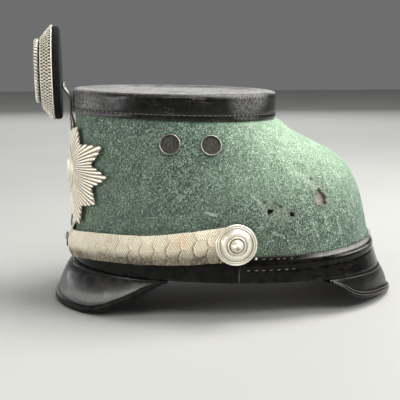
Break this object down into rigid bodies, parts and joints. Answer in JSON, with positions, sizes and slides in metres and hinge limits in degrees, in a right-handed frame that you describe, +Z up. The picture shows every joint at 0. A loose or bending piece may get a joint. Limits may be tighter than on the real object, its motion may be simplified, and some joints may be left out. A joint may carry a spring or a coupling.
{
  "type": "shako hat",
  "caption": "Green felt shako with a black patent leather lid, base band and front and rear visors, silvered chin scales on bosses, a rayed front plate and an oval wire cockade.",
  "frame": {"origin": "on the table under the middle of the whole hat, as it stands on the edges of its two visors", "axes": "+Z up, -Y is the hat's front, +X is the wearer's left; the hat is leant back 1.7 degrees, as it stands"},
  "size_m": [0.1974, 0.2619, 0.1966],
  "materials": {
    "felt": "grey-green wool felt, worn nap",
    "body": "stiff grey fibre",
    "patent_leather": "black patent leather, glossy and cracked",
    "cloth_backing": "black cloth",
    "silvered_metal": "silvered, aged and slightly warm",
    "silver_wire": "woven wire",
    "steel": "worn steel",
    "dark_mesh": "dark woven screen"
  },
  "bodies": {
    "root": {"crown_felt": "felt", "crown_body": "body", "lid": "patent_leather", "base_band": "patent_leather", "front_visor": "patent_leather", "front_visor_edging": "patent_leather", "rear_visor": "patent_leather", "rear_visor_edging": "patent_leather", "chin_scales_left": "silvered_metal", "chin_scales_right": "silvered_metal", "boss_left": "silvered_metal", "boss_right": "silvered_metal", "scale_clasp": "steel", "front_plate": "silvered_metal", "cockade_back": "cloth_backing", "cockade_cone": "silver_wire", "cockade_centre": "silver_wire", "cockade_prong": "steel", "vent_ring_front_left": "steel", "vent_screen_front_left": "dark_mesh", "vent_ring_front_right": "steel", "vent_screen_front_right": "dark_mesh", "vent_ring_rear_left": "steel", "vent_screen_rear_left": "dark_mesh", "vent_ring_rear_right": "steel", "vent_screen_rear_right": "dark_mesh"}
  },
  "joints": []
}
